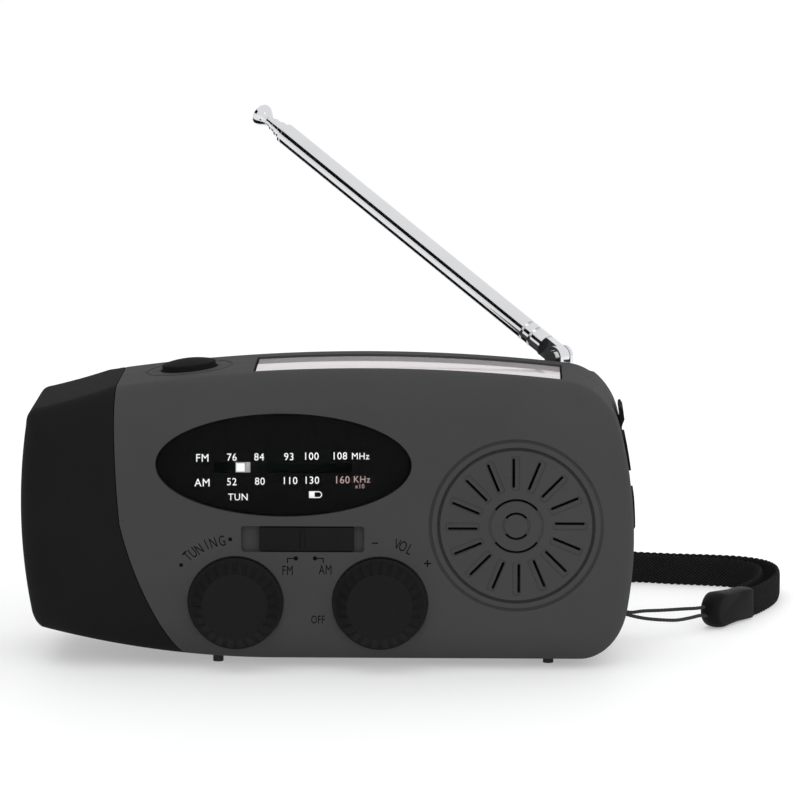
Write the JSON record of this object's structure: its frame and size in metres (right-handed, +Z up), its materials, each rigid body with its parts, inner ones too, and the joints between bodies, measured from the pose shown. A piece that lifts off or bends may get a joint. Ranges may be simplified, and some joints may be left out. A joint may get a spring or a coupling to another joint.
{
  "type": "emergency radio",
  "caption": "Hand-crank emergency radio with a torch head, oval tuning dial, speaker grille, solar panel on top, telescopic antenna and wrist strap.",
  "frame": {"origin": "on the surface that the radio stands on, under the middle of its body, front to back and end to end", "axes": "+X to the right seen from the front, +Y from the front to the back, +Z up"},
  "size_m": [0.1621, 0.1085, 0.1085],
  "materials": {
    "case_grey": "fine textured, matte",
    "case_black": "fine textured, matte",
    "clear_plastic": "clear, polished",
    "reflector_chrome": "vacuum plated",
    "led_resin": "clear resin over a phosphor",
    "circuit_board": "solder mask",
    "black_plastic": "smooth, satin",
    "dial_gloss": "tinted clear, polished",
    "dial_print": "printed black",
    "white_plastic": "smooth",
    "steel": "drawn, satin",
    "chrome": "polished",
    "cone_paper": "pressed paper",
    "magnet": "ground",
    "ferrite": "fired ceramic",
    "copper": "enamelled copper wire",
    "battery_wrap": "shrink sleeve",
    "solar_clear": "clear, polished",
    "solar_silicon": "dark blue cell",
    "brass": "turned",
    "gear_plastic": "acetal",
    "foot_rubber": "matte",
    "cord_black": "braided",
    "webbing_black": "woven",
    "component_grey": "moulded"
  },
  "bodies": {
    "radio": {"front_shell": "case_grey", "rear_shell": "case_grey", "torch_head": "case_black", "torch_lens": "clear_plastic", "torch_reflector": "reflector_chrome", "torch_leds": "led_resin", "torch_led_board": "circuit_board", "torch_switch": "component_grey", "dial_cover": "dial_gloss", "dial_plate": "dial_print", "pointer_guide_rail": "steel", "tuning_capacitor": "component_grey", "volume_control": "component_grey", "band_switch_body": "component_grey", "speaker_frame": "steel", "speaker_cone": "cone_paper", "speaker_magnet": "magnet", "main_board": "circuit_board", "ferrite_rod": "ferrite", "ferrite_coil": "copper", "battery": "battery_wrap", "solar_cover": "solar_clear", "solar_cell": "solar_silicon", "crank_bush": "brass", "gearbox_plate": "gear_plastic", "inner_screws": "steel", "generator_can": "steel", "generator_coil": "copper", "antenna_bush": "black_plastic", "usb_a_socket": "steel", "micro_usb_socket": "steel", "usb_board": "circuit_board", "housing_screws": "steel", "feet": "foot_rubber", "strap_pin": "steel", "strap_cord": "cord_black", "strap_clasp": "black_plastic", "strap_webbing": "webbing_black"},
    "torch_button": {"torch_button": "case_black"},
    "tuning": {"tuning_knob": "case_black", "tuning_shaft": "steel"},
    "pointer": {"dial_pointer": "white_plastic"},
    "volume": {"volume_knob": "case_black"},
    "band_switch": {"band_switch_slider": "black_plastic"},
    "crank": {"crank_arm": "case_black", "crank_shaft": "steel", "crank_gear": "gear_plastic", "crank_handle_pin": "steel"},
    "handle": {"crank_handle_spindle": "steel"},
    "knob": {"crank_knob": "case_black"},
    "idler": {"idler_gear": "gear_plastic"},
    "rotor": {"generator_rotor": "magnet"},
    "swivel": {"antenna_swivel": "chrome", "antenna_hinge_pin": "chrome"},
    "antenna": {"antenna_knuckle": "chrome", "antenna_tube_1": "chrome"},
    "section_2": {"antenna_tube_2": "chrome"},
    "section_3": {"antenna_tube_3": "chrome"},
    "tip": {"antenna_tip_rod": "chrome"},
    "cover": {"port_cover": "case_black"}
  },
  "joints": [
    {"name": "torch_button_press", "type": "slide", "parent": "radio", "child": "torch_button", "axis": [-0.1009, 0, 0.9949], "range_m": [-0.001, 0], "stiffness_N_per_m": 400, "springref_m": 0.0005},
    {"name": "tuning_turn", "type": "hinge", "parent": "radio", "child": "tuning", "pos_m": [-0.0185, -0.02, 0.0145], "axis": [0, 1, 0], "range_deg": [-15.9, 163.12]},
    {"name": "pointer_slide", "type": "slide", "parent": "radio", "child": "pointer", "axis": [1, 0, 0], "range_m": [-0.002, 0.0205]},
    {"name": "volume_turn", "type": "hinge", "parent": "radio", "child": "volume", "pos_m": [0.0114, -0.02, 0.0145], "axis": [0, 1, 0], "range_deg": [0, 280]},
    {"name": "band_switch_slide", "type": "slide", "parent": "radio", "child": "band_switch", "axis": [1, 0, 0], "range_m": [-0.00195, 0.00195]},
    {"name": "crank_spin", "type": "hinge", "parent": "radio", "child": "crank", "pos_m": [-0.018, 0.02, 0.031], "axis": [0, 1, 0], "continuous": true},
    {"name": "idler_spin", "type": "hinge", "parent": "radio", "child": "idler", "pos_m": [0.00455, 0.016, 0.03921], "axis": [0, 1, 0], "continuous": true},
    {"name": "rotor_spin", "type": "hinge", "parent": "radio", "child": "rotor", "pos_m": [0.02346, 0.008, 0.03587], "axis": [0, 1, 0], "continuous": true},
    {"name": "handle_fold", "type": "hinge", "parent": "crank", "child": "handle", "pos_m": [0.022, 0.0274, 0.031], "axis": [0, 0, -1], "range_deg": [0, 90]},
    {"name": "knob_spin", "type": "hinge", "parent": "handle", "child": "knob", "pos_m": [0.01, 0.0274, 0.031], "axis": [1, 0, 0], "continuous": true},
    {"name": "antenna_swivel_turn", "type": "hinge", "parent": "radio", "child": "swivel", "pos_m": [0.0485, 0.015, 0.0608], "axis": [0, 0, -1], "range_deg": [-42, 138]},
    {"name": "antenna_tilt", "type": "hinge", "parent": "swivel", "child": "antenna", "pos_m": [0.0485, 0.015, 0.0608], "axis": [0.6691, 0.7431, 0], "range_deg": [-27, 63]},
    {"name": "antenna_slide_2", "type": "slide", "parent": "antenna", "child": "section_2", "axis": [-0.6621, 0.5962, 0.454], "range_m": [0, 0.066]},
    {"name": "antenna_slide_3", "type": "slide", "parent": "section_2", "child": "section_3", "axis": [-0.6621, 0.5962, 0.454], "range_m": [0, 0.066]},
    {"name": "antenna_slide_tip", "type": "slide", "parent": "section_3", "child": "tip", "axis": [-0.6621, 0.5962, 0.454], "range_m": [0, 0.066]},
    {"name": "port_cover_turn", "type": "hinge", "parent": "radio", "child": "cover", "pos_m": [0.06362, 0, 0.028], "axis": [0, 1, 0], "range_deg": [0, 100]}
  ],
  "couplings": [
    {"joint": "pointer_slide", "follows": "tuning_turn", "m_per_rad": 0.0072},
    {"joint": "idler_spin", "follows": "crank_spin", "ratio": -3},
    {"joint": "rotor_spin", "follows": "crank_spin", "ratio": 9}
  ]
}
